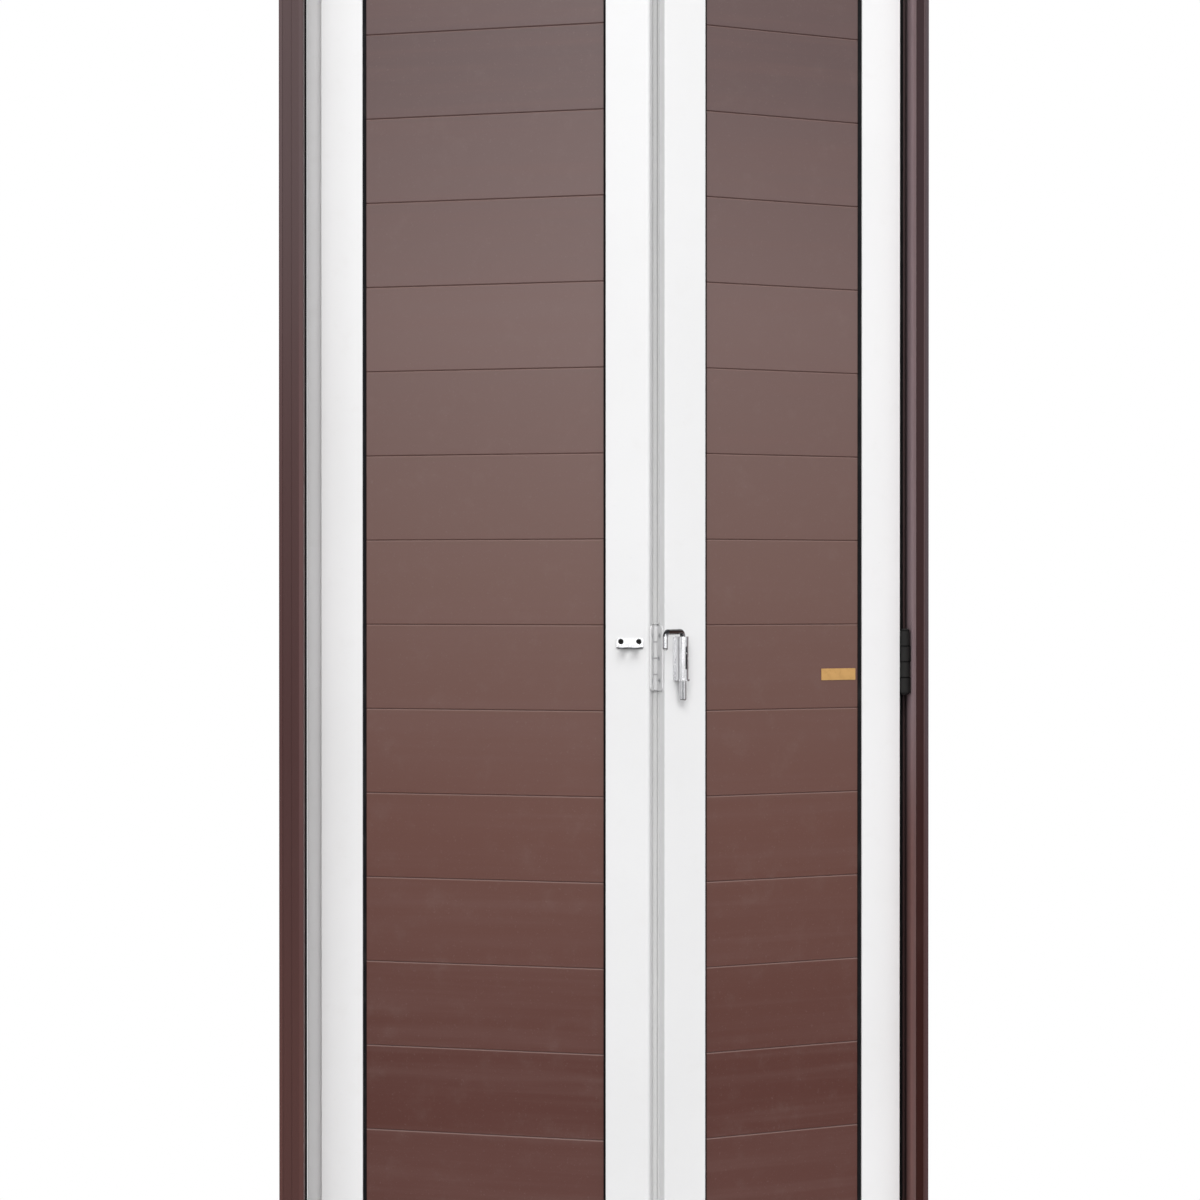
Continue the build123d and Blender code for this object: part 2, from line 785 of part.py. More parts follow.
def latch_pegs(clearance):
    """Pegs on the back of the latch housing, or with a clearance the holes for them."""
    pegs = []
    for z in (latch_bottom + latch_peg_inset, latch_bottom + latch_height - latch_peg_inset):
        disc = Pos(latch_x, z) * Circle(latch_peg_radius + clearance)
        pegs.append(on_front(disc, latch_peg_length, latch_peg_length + clearance))
    return pegs


def latch_housing():
    """Plate and tube in one, with a slot for the sleeve's key and a flange at its foot."""
    top = latch_bottom + latch_height
    half = latch_plate_width / 2
    plate = rect(latch_x - half, latch_x + half, latch_bottom, top)
    plate = fillet(plate.vertices(), latch_plate_corner)
    body = on_front(plate, 0, latch_plate_thickness)
    body += rod(latch_x, latch_y, latch_bottom, top, latch_tube_radius)
    body += block(latch_x - latch_tube_radius, latch_x + latch_tube_radius, latch_y,
                  -latch_plate_thickness / 2, latch_bottom, top)
    body += rod(latch_x, latch_y, latch_bottom, latch_bottom + latch_flange_height,
                latch_flange_radius)
    body -= rod(latch_x, latch_y, latch_bottom - overrun, top + overrun, latch_bore_radius)
    body -= key_way().moved(Location((latch_x, latch_y, latch_slot_bottom)))
    return body + latch_pegs(0)


def key_direction():
    """Direction in which the sleeve's key points through the housing's slot."""
    angle = math.radians(latch_slot_angle)
    return (math.sin(angle), -math.cos(angle), 0)


def key_way():
    """Slot through the front of the tube, from its lower end up."""
    plane = Plane(origin=(0, 0, latch_slot_height / 2), x_dir=(0, 0, 1), z_dir=key_direction())
    return extrude(plane * SlotOverall(latch_slot_height, latch_slot_width),
                   amount=latch_flange_radius + overrun)


def latch_sleeve():
    """Sleeve that carries the rod up and down; its key keeps it from turning."""
    outer = latch_bore_radius - sleeve_clearance
    top = sleeve_bottom + sleeve_height
    sleeve = rod(latch_x, latch_y, sleeve_bottom, top, outer)
    level = latch_slot_bottom + latch_slot_width / 2
    plane = Plane(origin=(latch_x, latch_y, level), x_dir=(0, 0, 1), z_dir=key_direction())
    sleeve += extrude(plane * Circle(sleeve_key_radius), amount=latch_tube_radius - overrun / 2)
    return sleeve - rod(latch_x, latch_y, sleeve_bottom - overrun, top + overrun,
                        rod_radius + rod_clearance)


def latch_rod():
    """Bent rod: thick foot under the sleeve, collar over it, arm and hanging finger."""
    reach = latch_x - keeper_x
    foot_top = sleeve_bottom - sleeve_end_gap
    foot = rod(0, 0, rod_bottom, foot_top, knob_radius)
    foot = fillet(foot.edges().sort_by(Axis.Z)[0], knob_end_radius)
    collar_bottom = sleeve_bottom + sleeve_height + sleeve_end_gap
    collar = rod(0, 0, collar_bottom, collar_bottom + rod_collar_height, knob_radius)
    finger_end = finger_bottom + rod_radius
    path = FilletPolyline((0, 0, foot_top), (0, 0, arm_height), (-reach, 0, arm_height),
                          (-reach, 0, finger_end), radius=rod_bend_radius)
    bar = sweep(Pos(0, 0, foot_top) * Circle(rod_radius), path=path)
    bar += foot
    bar += collar
    bar += Pos(-reach, 0, finger_end) * Sphere(rod_radius)
    return Pos(latch_x, latch_y, 0) * Rot(0, 0, latch_turn) * bar


def keeper_screw_places():
    """Two screws of the keeper."""
    z = keeper_bottom + keeper_height - keeper_screw_drop
    return [facing(keeper_x + step * keeper_screw_spacing / 2, -keeper_thickness, z, "-y")
            for step in (-1, 1)]


def keeper():
    """Angle plate whose lip has a notch, open to the front, for the finger."""
    half = keeper_width / 2
    sheet = rect(keeper_x - half, keeper_x + half, keeper_bottom, keeper_bottom + keeper_height)
    sheet = fillet(sheet.vertices(), keeper_corner)
    body = on_front(sheet, 0, keeper_thickness)
    lip = rect(keeper_x - keeper_lip_width / 2, keeper_x + keeper_lip_width / 2, -keeper_lip, 0)
    tips = [(keeper_x - half, -keeper_lip), (keeper_x + half, -keeper_lip)]
    lip = rounded(lip, tips, keeper_corner)
    lip -= Pos(keeper_x, latch_y) * Circle(keeper_notch_radius)
    lip -= rect(keeper_x - keeper_notch_radius, keeper_x + keeper_notch_radius,
                -keeper_lip - overrun, latch_y)
    body += upright(lip, keeper_bottom, keeper_bottom + keeper_thickness)
    return body - [place * screw_space(screw_length) for place in keeper_screw_places()]


def badge():
    """Blank plate on the plank beside the hinge stile."""
    x1 = hinge_leaf_edge - stile_face - gasket_nose - badge_gap
    half = badge_height / 2
    plate = rect(x1 - badge_width, x1, badge_centre_height - half, badge_centre_height + half)
    plate = fillet(plate.vertices(), badge_corner)
    return on_front(plate, plank_front, badge_thickness)


# Whole leaves

def corner_holes(places):
    """Holes for the long corner screws."""
    return [place * screw_space(corner_screw_length) for place in places]


def make_hinge_leaf():
    """All pieces that ride on the hinge leaf."""
    place = hinge_leaf_at_rest
    x0, x1 = hinge_leaf_fold_edge + stile_face, hinge_leaf_edge - stile_face
    fold_places = corner_screw_places(hinge_leaf_fold_edge, "-x")
    hinge_places = corner_screw_places(hinge_leaf_edge, "+x")
    hinge_stile = upright(stile_section(hinge_leaf_edge, -1), leaf_bottom, leaf_top)
    hinge_stile -= [p * screw_space(screw_length) for p in jamb_hinge_screws(False)]
    hinge_stile -= corner_holes(hinge_places)
    section = stile_section(hinge_leaf_fold_edge, 1, knuckle=True)
    fold_stile = upright(section, leaf_bottom, leaf_top)
    fold_stile -= [p * screw_space(screw_length) for p in fold_hinge_screws(False)]
    fold_stile -= corner_holes(fold_places)
    fold_stile -= latch_pegs(peg_clearance)
    save("hinge_leaf_hinge_stile", hinge_stile, place)
    save("hinge_leaf_fold_stile", fold_stile, place)
    save("hinge_leaf_bottom_rail", rail(x0, x1, leaf_bottom, 1), place)
    save("hinge_leaf_top_rail", rail(x0, x1, leaf_top, -1), place)
    holes = corner_holes(fold_places + hinge_places)
    save("hinge_leaf_corner_cleats", [c - holes for c in corner_cleats(x0, x1)], place)
    save("hinge_leaf_corner_screws",
         [p * screw(corner_screw_length) for p in fold_places + hinge_places], place)
    save("hinge_leaf_planks", planks(x0, x1), place)
    save("hinge_leaf_gaskets", panel_gaskets(x0, x1), place)
    save("fold_seal", fold_seal(), place)
    save("latch_housing", latch_housing(), place)
    save("latch_sleeve", latch_sleeve(), place)
    save("latch_rod", latch_rod(), place)
    save("blank_plate", badge(), place)
    screws = jamb_hinge_screws(False) + fold_hinge_screws(False)
    save("hinge_leaf_hinge_screws", [p * screw(screw_length) for p in screws], place)
    for name, bottom in hinge_bottoms(jamb_hinge_middle).items():
        plate = hinge_plate(bottom, (hinge_axis, 0), -1, 1, 1, hinge_side_gap / 2,
                            plate_thickness, plate_root)
        save("jamb_hinge_" + name + "_leaf_plate", plate, place)
    axis = (fold_axis, leaf_thickness)
    bottoms = hinge_bottoms(fold_hinge_middle)
    for name, bottom in bottoms.items():
        plate = hinge_plate(bottom, axis, 1, -1, 1, fold_gap / 2, fold_plate_thickness, 0)
        save("fold_hinge_" + name + "_hinge_leaf_plate", plate, place)
    save("fold_hinge_pins", [hinge_pin(z, axis) for z in bottoms.values()], place)


def make_lead_leaf():
    """All pieces that ride on the lead leaf, and the guide roller on its pin."""
    place = lead_leaf_at_rest
    x0, x1 = lead_leaf_edge + stile_face, lead_leaf_fold_edge - stile_face
    strike_places = corner_screw_places(lead_leaf_edge, "-x")
    fold_places = corner_screw_places(lead_leaf_fold_edge, "+x")
    strike_stile = upright(stile_section(lead_leaf_edge, 1), leaf_bottom, leaf_top)
    strike_stile -= corner_holes(strike_places)
    section = stile_section(lead_leaf_fold_edge, -1, knuckle=True, radius=fold_edge_radius)
    fold_stile = upright(section, leaf_bottom, leaf_top) - corner_holes(fold_places)
    fold_stile -= [p * screw_space(screw_length) for p in fold_hinge_screws(True)]
    fold_stile -= [p * screw_space(screw_length) for p in keeper_screw_places()]
    top_rail = rail(x0, x1, leaf_top, -1)
    top_rail -= [p * screw_space(screw_length) for p in guide_bracket_screws()]
    save("lead_leaf_strike_stile", strike_stile, place)
    save("lead_leaf_tongue", tongue_profile(), place)
    save("lead_leaf_fold_stile", fold_stile, place)
    save("lead_leaf_bottom_rail", rail(x0, x1, leaf_bottom, 1), place)
    save("lead_leaf_top_rail", top_rail, place)
    holes = corner_holes(strike_places + fold_places)
    holes += [p * screw_space(screw_length) for p in guide_bracket_screws()]
    save("lead_leaf_corner_cleats", [c - holes for c in corner_cleats(x0, x1)], place)
    save("lead_leaf_corner_screws",
         [p * screw(corner_screw_length) for p in strike_places + fold_places], place)
    save("lead_leaf_planks", planks(x0, x1), place)
    save("lead_leaf_gaskets", panel_gaskets(x0, x1), place)
    save("keeper", keeper(), place)
    save("keeper_screws", [p * screw(screw_length) for p in keeper_screw_places()], place)
    save("guide_bracket", guide_bracket(), place)
    save("guide_bracket_screws", [p * screw(screw_length) for p in guide_bracket_screws()], place)
    save("guide_pin", guide_pin(), place)
    save("guide_roller", guide_roller(), place)
    hinge_screws = [p * screw(screw_length) for p in fold_hinge_screws(True)]
    save("lead_leaf_hinge_screws", hinge_screws, place)
    for name, bottom in hinge_bottoms(fold_hinge_middle).items():
        plate = hinge_plate(bottom, (fold_axis, leaf_thickness), -1, -1, 0, fold_gap / 2,
                            fold_plate_thickness, 0)
        save("fold_hinge_" + name + "_lead_leaf_plate", plate, place)


def make_frame():
    """All pieces that stay on the wall."""
    save("hinge_jamb", hinge_jamb())
    save("hinge_jamb_stop", hinge_jamb_stop())
    save("strike_jamb", strike_jamb())
    save("strike_jamb_web", strike_jamb_web())
    save("frame_head", frame_head())
    save("head_end_caps", head_end_caps())
    seal_x = reveal - seal_inset
    save("hinge_jamb_seal", jamb_seal(seal_x - seal_width, seal_x, frame_back - hinge_stop_depth,
                                      leaf_thickness + seal_gap))
    save("strike_jamb_seal", jamb_seal(lip_edge - seal_width, lead_leaf_edge - seal_gap,
                                       strike_lip_back, tongue_setback - seal_gap))
    screws = [(False, p, n) for p, n in frame_screw_places()]
    screws += [(True, p, n) for p, n in frame_screw_places(strike=True)]
    holes = [p * screw_space(n) for _, p, n in screws]
    save("hinge_side_corner_cleat", frame_cleat() - holes)
    save("strike_side_corner_cleat", mirror(frame_cleat(), about=Plane.YZ) - holes)
    save("frame_screws", [p * screw(n) for _, p, n in screws])
    save("guide_track", guide_track())
    save("track_stop", track_stop())
    save("track_screws", [p * screw(n) for p, n in track_screw_places()])
    for name, bottom in hinge_bottoms(jamb_hinge_middle).items():
        plate = hinge_plate(bottom, (hinge_axis, 0), 1, 1, 0, hinge_side_gap / 2,
                            plate_thickness, plate_root)
        save("jamb_hinge_" + name + "_frame_plate", plate)
    bottoms = hinge_bottoms(jamb_hinge_middle).values()
    save("jamb_hinge_pins", [hinge_pin(z, (hinge_axis, 0)) for z in bottoms])
    save("jamb_hinge_screws", [p * screw(screw_length) for p in jamb_hinge_screws(True)])


os.makedirs("parts", exist_ok=True)
make_frame()
make_hinge_leaf()
make_lead_leaf()
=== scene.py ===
"""Half-open bifold door: finishes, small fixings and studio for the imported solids."""

import json
import math

import bpy
from mathutils import Euler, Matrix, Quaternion, Vector


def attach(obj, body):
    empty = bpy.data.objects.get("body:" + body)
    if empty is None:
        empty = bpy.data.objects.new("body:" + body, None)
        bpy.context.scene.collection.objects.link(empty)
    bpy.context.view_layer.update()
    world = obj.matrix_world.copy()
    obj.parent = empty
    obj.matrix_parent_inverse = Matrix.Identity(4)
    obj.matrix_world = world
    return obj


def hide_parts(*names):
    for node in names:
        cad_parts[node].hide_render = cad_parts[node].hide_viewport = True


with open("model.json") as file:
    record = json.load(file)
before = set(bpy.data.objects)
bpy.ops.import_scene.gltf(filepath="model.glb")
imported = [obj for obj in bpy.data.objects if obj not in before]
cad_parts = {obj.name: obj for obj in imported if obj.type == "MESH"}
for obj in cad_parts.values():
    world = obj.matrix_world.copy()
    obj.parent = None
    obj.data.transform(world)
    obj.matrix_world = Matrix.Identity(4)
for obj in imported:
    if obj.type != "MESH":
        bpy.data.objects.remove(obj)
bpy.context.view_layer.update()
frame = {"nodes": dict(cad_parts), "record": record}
record = frame["record"]
nodes = frame["nodes"]

# Sizes of the door in metres, as the CAD has them.
DOOR_HEIGHT = 2.134
DOOR_SIDE = 0.381
BEAD_WIDTH = 0.004
JAMB_FRONT = -0.030
PLANK_PITCH = 0.099
PLANKS_START = 0.055
BARREL_RADIUS = 0.0058
KNUCKLES = 4

# Borders of painted light and shade on the jambs in metres: painted light on the strike jamb's lip,
# painted shade at the deep end of the hinge jamb's reveal, softness.
LIP_PAINTED_LIGHT_START = -0.358
REVEAL_PAINTED_SHADE_START = 0.012
REVEAL_PAINTED_SHADE_END = 0.026
BORDER_BLUR = 0.0005

# Mask of the worn edges.
BEVEL_SAMPLES = 4
EDGE_GAIN = 4.0

# The camera, as fitted to the 1200 px photograph.
PICTURE_PIXELS = 1200
FOCAL_PIXELS = 2242.5
SENSOR_WIDTH = 36.0
CAMERA_PLACE = (-0.2244, -2.6409, 1.0835)
CAMERA_TILT = -0.21
CAMERA_TURN = -4.714


class Field:
    """A shader socket that can be used in sums."""

    def __init__(self, finish, socket):
        self.finish = finish
        self.socket = socket

    def math(self, operation, *others, clamp=False):
        """This value and others put through one math node."""
        return self.finish.maths(operation, self, *others, clamp=clamp)

    def __add__(self, other):
        return self.math("ADD", other)

    __radd__ = __add__

    def __sub__(self, other):
        return self.math("SUBTRACT", other)

    def __rsub__(self, other):
        return self.finish.maths("SUBTRACT", other, self)

    def __mul__(self, other):
        return self.math("MULTIPLY", other)

    __rmul__ = __mul__

    def __truediv__(self, other):
        return self.math("DIVIDE", other)

    def clamped(self):
        return self.math("ADD", 0.0, clamp=True)

    def floor(self):
        return self.math("FLOOR")

    def fraction(self):
        return self.math("FRACT")

    def between(self, low, high):
        """Runs smoothly from 0 at low to 1 at high."""
        node = self.finish.node("ShaderNodeMapRange",
                                {"interpolation_type": "SMOOTHSTEP", "clamp": True},
                                {"Value": self, "From Min": low, "From Max": high})
        return Field(self.finish, node.outputs["Result"])


class Finish:
    """One procedural material with a principled surface."""

    def __init__(self, name, metallic=0.0, **constants):
        self.material = bpy.data.materials.new(name)
        self.material.use_nodes = True
        self.tree = self.material.node_tree
        self.surface = self.tree.nodes["Principled BSDF"]
        self.surface.inputs["Metallic"].default_value = metallic
        for socket, value in constants.items():
            self.surface.inputs[socket.replace("_", " ")].default_value = value
        self.place = self.node("ShaderNodeTexCoord").outputs["Object"]

    def feed(self, socket, value):
        """Links a socket to a field or another socket, or sets its value."""
        if isinstance(value, Field):
            value = value.socket
        if isinstance(value, bpy.types.NodeSocket):
            self.tree.links.new(value, socket)
        else:
            socket.default_value = value

    def node(self, kind, settings=None, inputs=None):
        """Adds a node: its settings first, then the values or links of its sockets."""
        node = self.tree.nodes.new(kind)
        for key, value in (settings or {}).items():
            if key == "stops":
                while len(node.color_ramp.elements) < len(value):
                    node.color_ramp.elements.new(1.0)
                for element, (position, colour) in zip(node.color_ramp.elements, value):
                    element.position = position
                    element.color = colour
            else:
                setattr(node, key, value)
        for key, value in (inputs or {}).items():
            self.feed(node.inputs[key], value)
        return node

    def maths(self, operation, *values, clamp=False):
        """One math node on fields, sockets or numbers."""
        inputs = {i: value for i, value in enumerate(values)}
        node = self.node("ShaderNodeMath", {"operation": operation, "use_clamp": clamp}, inputs)
        return Field(self, node.outputs[0])

    def axis(self, name):
        """One coordinate of the object, in metres."""
        node = self.node("ShaderNodeSeparateXYZ", None, {"Vector": self.place})
        return Field(self, node.outputs[name])

    def stretched(self, scale):
        """The place, scaled along each axis, so that a pattern on it is drawn out."""
        node = self.node("ShaderNodeMapping", None, {"Vector": self.place, "Scale": scale})
        return node.outputs["Vector"]

    def noise(self, scale, detail=3.0, roughness=0.55, stretch=None):
        """Cloudy noise between 0 and 1, drawn out where stretch is given."""
        place = self.stretched(stretch) if stretch else self.place
        node = self.node("ShaderNodeTexNoise", None,
                         {"Vector": place, "Scale": scale, "Detail": detail, "Roughness": roughness})
        return Field(self, node.outputs["Fac"])

    def random(self, value):
        """A steady random number for each whole number."""
        node = self.node("ShaderNodeTexWhiteNoise", {"noise_dimensions": "1D"}, {"W": value})
        return Field(self, node.outputs["Value"])

    def mix(self, share, first, second):
        """Mixes two colours."""
        node = self.node("ShaderNodeMix", {"data_type": "RGBA"}, {0: share, 6: first, 7: second})
        return node.outputs[2]

    def edges(self, radius):
        """Rounded normal and a mask that is 1 on the sharp edges of the piece."""
        soft = self.node("ShaderNodeBevel", {"samples": BEVEL_SAMPLES}, {"Radius": radius})
        flat = self.node("ShaderNodeNewGeometry")
        dot = self.node("ShaderNodeVectorMath", {"operation": "DOT_PRODUCT"},
                        {0: soft.outputs["Normal"], 1: flat.outputs["Normal"]})
        mask = (1.0 - Field(self, dot.outputs["Value"])) * EDGE_GAIN
        return soft.outputs["Normal"], mask.clamped()

    def bump(self, height, distance, strength, normal=None):
        """Normal of a relief on the plain or the given normal, its depth in metres."""
        inputs = {"Height": height, "Distance": distance, "Strength": strength}
        if normal is not None:
            inputs["Normal"] = normal
        node = self.node("ShaderNodeBump", None, inputs)
        return node.outputs["Normal"]

    def finish_with(self, colour, roughness, normal):
        """Feeds the surface and returns the material."""
        self.feed(self.surface.inputs["Base Color"], colour)
        self.feed(self.surface.inputs["Roughness"], roughness)
        self.feed(self.surface.inputs["Normal"], normal)
        return self.material


def rgb(red, green, blue):
    return (red, green, blue, 1.0)


def white_coat(name, tone):
    """White powder coat on the stiles and rails: fine peel, faint dust, rubbed edges; a tone above 1
    is painted light and below 1 painted shade.
    """
    m = Finish(name, IOR=1.5)
    normal, edge = m.edges(0.0007)
    cloud = m.noise(3.0, 4.0)
    dust = m.noise(38.0, 5.0, 0.65).between(0.52, 0.8)
    peel = m.noise(620.0, 2.0, 0.4)
    speck = m.noise(240.0, 3.0, 0.6).between(0.66, 0.74)
    base = m.mix(cloud.between(0.3, 0.7), rgb(0.80 * tone, 0.80 * tone, 0.798 * tone),
                 rgb(0.83 * tone, 0.83 * tone, 0.83 * tone))
    base = m.mix(dust * 0.10, base, rgb(0.66, 0.63, 0.60))
    base = m.mix(edge * (0.15 + 0.25 * cloud), base, rgb(0.72, 0.71, 0.69))
    base = m.mix(speck * 0.10, base, rgb(0.60, 0.58, 0.55))
    roughness = 0.46 + 0.08 * cloud + 0.10 * dust
    bumps = m.bump(peel, 0.00005, 0.55, normal)
    return m.finish_with(base, roughness, bumps)


def plank_coat():
    """Satin brown coat on the planks, each plank a little different, faint dust, painted light by
    height and painted light and shade on the seam bevels.
    """
    m = Finish("plank_brown_coat", IOR=1.55)
    normal, edge = m.edges(0.0006)
    row = (m.axis("Z") - PLANKS_START) / PLANK_PITCH
    own = m.random(row.floor())
    seam = row.fraction()
    top_bevel_highlight = seam.between(0.984, 0.992)
    bottom_bevel_shade = 1.0 - seam.between(0.006, 0.014)
    # Colour by height is painted light: darker and redder low down, greyer higher up, darker again
    # near the top.
    height = m.node("ShaderNodeValToRGB", {"stops": [
        (0.24, rgb(0.074, 0.016, 0.009)), (0.38, rgb(0.100, 0.031, 0.019)),
        (0.52, rgb(0.114, 0.051, 0.038)), (0.66, rgb(0.119, 0.065, 0.057)),
        (0.80, rgb(0.079, 0.043, 0.041))]}, {"Fac": m.axis("Z") / DOOR_HEIGHT}).outputs["Color"]
    cloud = m.noise(2.2, 4.0)
    streak = m.noise(14.0, 4.0, 0.6, stretch=(0.16, 0.16, 5.0))
    grain = m.noise(900.0, 2.0, 0.5)
    dust = m.noise(30.0, 5.0, 0.7).between(0.5, 0.85)
    fleck = m.noise(420.0, 2.0, 0.5).between(0.64, 0.72)
    base = m.mix((own + cloud) * 0.06, height, rgb(0.26, 0.15, 0.13))
    base = m.mix(streak.between(0.4, 0.75) * 0.25, base, rgb(0.135, 0.066, 0.056))
    base = m.mix(dust * 0.12, base, rgb(0.24, 0.18, 0.16))
    # Painted highlight on the bevel that faces up and painted shade on the bevel that faces down, at
    # every seam.
    base = m.mix(top_bevel_highlight * 0.5, base, rgb(0.30, 0.21, 0.19))
    base = m.mix(bottom_bevel_shade * 0.3, base, rgb(0.16, 0.09, 0.08))
    base = m.mix(edge * 0.4, base, rgb(0.22, 0.14, 0.125))
    base = m.mix(fleck * 0.18, base, rgb(0.20, 0.14, 0.125))
    roughness = 0.36 + 0.10 * streak + 0.10 * dust
    bumps = m.bump(grain * 0.6 + streak * 0.9, 0.00006, 0.5, normal)
    return m.finish_with(base, roughness, bumps)


def frame_coat(name, ior=1.5, low=(0.066, 0.028, 0.027), high=(0.066, 0.028, 0.027), edge_wear_and_shade=0.19):
    """Dark satin brown of the frame, low and high being its colours below and above; where they
    differ, the change is painted light by height.
    """
    m = Finish(name, IOR=ior)
    normal, edge = m.edges(0.0007)
    cloud = m.noise(2.5, 4.0)
    rub = m.noise(10.0, 5.0, 0.7, stretch=(1.0, 1.0, 0.25)).between(0.45, 0.8)
    grain = m.noise(850.0, 2.0, 0.5)
    # Between the colours below and above: painted light by height.
    base = m.mix(m.axis("Z").between(0.45, 1.75), rgb(*low), rgb(*high))
    base = m.mix((0.5 - cloud).clamped() * 0.5, base, rgb(0.03, 0.012, 0.011))
    base = m.mix(rub * 0.12, base, rgb(0.13, 0.085, 0.082))
    # Edge tone: lighter rubbed paint on the head and hinge jamb; the near-black one on the strike
    # jamb is painted shade.
    base = m.mix(edge * (0.35 + 0.4 * rub), base, rgb(edge_wear_and_shade, edge_wear_and_shade * 0.74, edge_wear_and_shade * 0.71))
    return m, base, normal, grain, 0.34 + 0.12 * rub + 0.06 * cloud


def head_coat():
    """The same brown at every height, on the head and the other brown frame pieces."""
    m, base, normal, grain, roughness = frame_coat("frame_brown_coat")
    return m.finish_with(base, roughness, m.bump(grain, 0.00005, 0.45, normal))


def strike_jamb_coat():
    """Lighter copy of the frame brown with painted light and shade: painted shade at middle heights
    and in the sunk band from the bead to the lip, painted light on the lip beside the leaf.
    """
    # Colours lighter than the head's, changing with height, are painted light; the near-black edge
    # tone is painted shade.
    m, base, normal, grain, roughness = frame_coat(
        "strike_jamb_brown_coat", 1.28, (0.094, 0.040, 0.035), (0.082, 0.049, 0.050), 0.03)
    x, z = m.axis("X"), m.axis("Z")
    middle = z.between(0.5, 0.95) * (1.0 - z.between(1.15, 1.6))
    bead_end = BEAD_WIDTH - DOOR_SIDE
    lip = x.between(LIP_PAINTED_LIGHT_START - BORDER_BLUR, LIP_PAINTED_LIGHT_START + BORDER_BLUR)
    sunk = x.between(bead_end - BORDER_BLUR, bead_end + BORDER_BLUR) * (1.0 - lip)
    # Painted shade at middle heights and in the sunk band; painted light on the lip at middle
    # heights.
    base = m.mix(middle * 0.75, base, rgb(0.062, 0.022, 0.021))
    base = m.mix(sunk * 0.3, base, rgb(0.035, 0.013, 0.012))
    base = m.mix(lip * middle * 0.75, base, rgb(0.108, 0.052, 0.051))
    return m.finish_with(base, roughness, m.bump(grain, 0.00005, 0.45, normal))


def hinge_jamb_coat():
    """Darker copy of the frame brown as painted shade, a painted highlight on the outer bead, and a
    pale reveal of painted light that turns to painted shade towards the front and beside its seal.
    """
    # Colours below and above, far darker than the head's: painted shade, changing with height as
    # painted light.
    m, base, normal, grain, roughness = frame_coat(
        "hinge_jamb_brown_coat", 1.25, (0.029, 0.006, 0.004), (0.023, 0.007, 0.009), 0.10)
    y, z = m.axis("Y"), m.axis("Z")
    bead_start = DOOR_SIDE - BEAD_WIDTH
    bead = m.axis("X").between(bead_start - 0.0004, bead_start + 0.0002)
    inner = y.between(JAMB_FRONT + 0.0004, JAMB_FRONT + 0.0015)
    front = 1.0 - y.between(JAMB_FRONT + 0.004, JAMB_FRONT + 0.032)
    deep = y.between(REVEAL_PAINTED_SHADE_START, REVEAL_PAINTED_SHADE_END)
    # Painted highlight on the bead; on the reveal, painted light changing with height, painted shade
    # towards the front and beside the seal.
    bead_tone = m.mix(z.between(0.7, 1.0), rgb(0.078, 0.040, 0.041), rgb(0.072, 0.050, 0.056))
    inner_tone = m.mix(z.between(0.75, 1.0), rgb(0.34, 0.180, 0.165), rgb(0.48, 0.355, 0.375))
    inner_tone = m.mix(front * 0.55, inner_tone, rgb(0.14, 0.085, 0.085))
    inner_tone = m.mix(deep * 0.85, inner_tone, rgb(0.03, 0.026, 0.027))
    base = m.mix(bead * 0.95, base, bead_tone)
    base = m.mix(inner * 0.95, base, inner_tone)
    return m.finish_with(base, roughness, m.bump(grain, 0.00005, 0.45, normal))


def rubber(name, dark, light, above=0.0):
    """Seal rubber with a fine drawn grain and a little bloom, and where asked painted shade that
    makes it greyer above.
    """
    m = Finish(name, IOR=1.2)
    normal, edge = m.edges(0.0004)
    bloom = m.noise(26.0, 5.0, 0.7).between(0.45, 0.8)
    drawn = m.noise(500.0, 3.0, 0.6, stretch=(1.0, 1.0, 0.03))
    base = m.mix(bloom * 0.6 + edge * 0.3, dark, light)
    # Painted shade: greyer towards the top, by the share asked.
    base = m.mix(m.axis("Z").between(0.4, 1.8) * above, base, rgb(0.30, 0.30, 0.30))
    roughness = 0.55 + 0.2 * bloom
    bumps = m.bump(drawn, 0.00008, 0.5, normal)
    return m.finish_with(base, roughness, bumps)


def knuckle_gaps(m, joint, node):
    """Mask that is 1 on a hinge's barrel beside the gaps between its knuckles, where painted shade
    goes.
    """
    axis = next(row["pos_m"] for row in record["behaviour"]["joints"] if row["name"] == joint)
    heights = [vertex.co.z for vertex in nodes[node].data.vertices]
    pitch = (max(heights) - min(heights)) / KNUCKLES
    share = ((m.axis("Z") - min(heights)) / pitch).fraction()
    beside = 1.0 - share.between(0.02, 0.05) * (1.0 - share.between(0.95, 0.98))
    across, along = m.axis("X") - axis[0], m.axis("Y") - axis[1]
    reach = (across * across + along * along).math("SQRT")
    return beside * (1.0 - reach.between(BARREL_RADIUS + 0.0003, BARREL_RADIUS + 0.0010))


def painted_steel(name, dark, light, edge_wear_and_shade, edge_wear_and_shade_share, gloss, ior=1.5, hinge=None, gap_shade=None):
    """Painted hinge steel: rubbed paint on the edges of the white hinges, painted shade on the edges
    of the black ones, and painted shade beside the gaps between its knuckles where a hinge is given.
    """
    m = Finish(name, IOR=ior)
    normal, edge = m.edges(0.0005)
    cloud = m.noise(45.0, 4.0)
    chips = m.noise(300.0, 4.0, 0.6)
    edge_wear_and_shade_mask = (edge * 1.2 * chips.between(0.42, 0.6)).clamped()
    base = m.mix(cloud, dark, light)
    base = m.mix((edge_wear_and_shade_mask * edge_wear_and_shade_share).clamped(), base, edge_wear_and_shade)
    if hinge:
        base = m.mix(knuckle_gaps(m, *hinge), base, gap_shade)
    roughness = gloss + 0.12 * cloud + 0.1 * edge_wear_and_shade_mask
    bumps = m.bump(m.noise(700.0, 2.0, 0.5), 0.00005, 0.5, normal)
    return m.finish_with(base, roughness, bumps)


